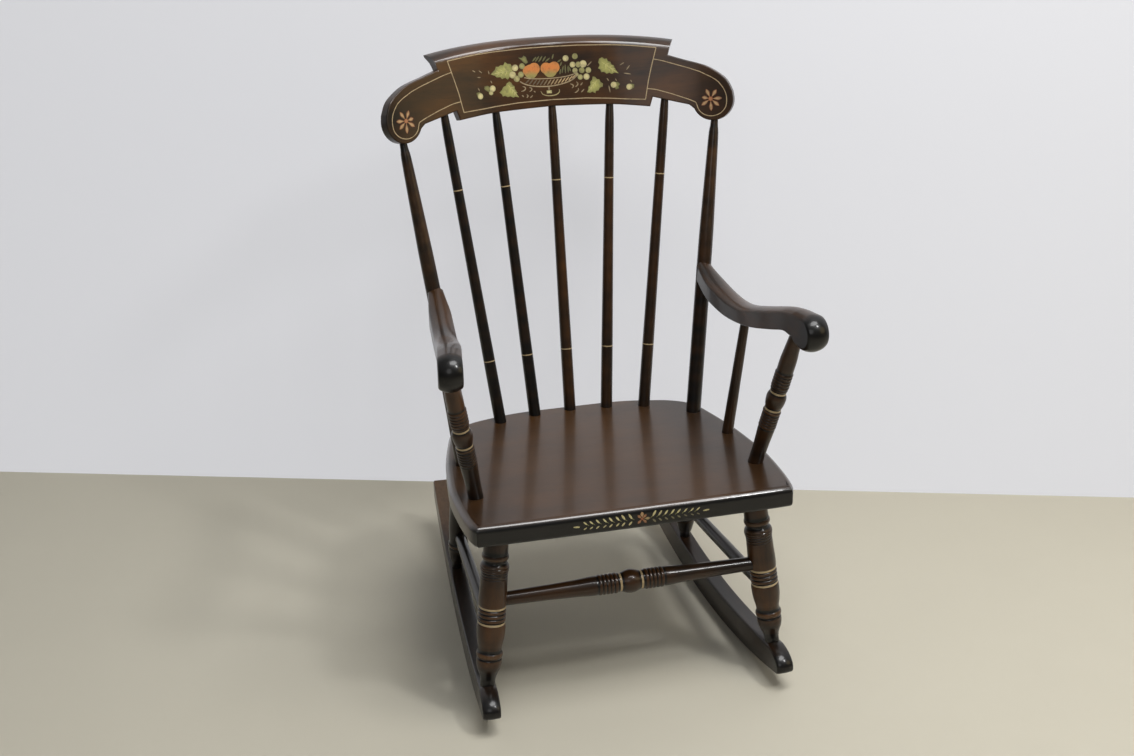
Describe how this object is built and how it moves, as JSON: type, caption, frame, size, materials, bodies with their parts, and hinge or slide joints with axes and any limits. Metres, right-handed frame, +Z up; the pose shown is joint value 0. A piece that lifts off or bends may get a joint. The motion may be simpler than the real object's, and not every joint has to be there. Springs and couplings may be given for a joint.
{
  "type": "boston rocking chair",
  "caption": "Wooden rocking chair with a bent crest board over turned back spindles, a plank seat, scroll arms, turned legs and stretchers, and two long curved rockers.",
  "frame": {"origin": "on the floor, under the middle of the chair's bounding box", "axes": "+Z up, the chair faces -Y, +X to the right seen from the front"},
  "size_m": [0.618, 0.7094, 0.9943],
  "materials": {
    "frame_wood": "very dark walnut stain under semi-gloss lacquer, with fine gold rings and stripes",
    "seat_wood": "dark walnut stain, semi-gloss, black on the front edge",
    "dowel_wood": "raw hardwood dowel, hidden in its bores"
  },
  "bodies": {
    "root": {"seat": "seat_wood", "crest_rail": "frame_wood", "back_spindle_1": "frame_wood", "back_spindle_2": "frame_wood", "back_spindle_3": "frame_wood", "back_spindle_4": "frame_wood", "back_spindle_5": "frame_wood", "rocker_left": "frame_wood", "front_leg_left": "frame_wood", "rear_leg_left": "frame_wood", "back_post_left": "frame_wood", "arm_left": "frame_wood", "arm_post_left": "frame_wood", "arm_spindle_left": "frame_wood", "arm_dowel_left": "dowel_wood", "side_stretcher_left": "frame_wood", "rocker_right": "frame_wood", "front_leg_right": "frame_wood", "rear_leg_right": "frame_wood", "back_post_right": "frame_wood", "arm_right": "frame_wood", "arm_post_right": "frame_wood", "arm_spindle_right": "frame_wood", "arm_dowel_right": "dowel_wood", "side_stretcher_right": "frame_wood", "front_stretcher": "frame_wood", "rear_stretcher": "frame_wood"}
  },
  "joints": []
}
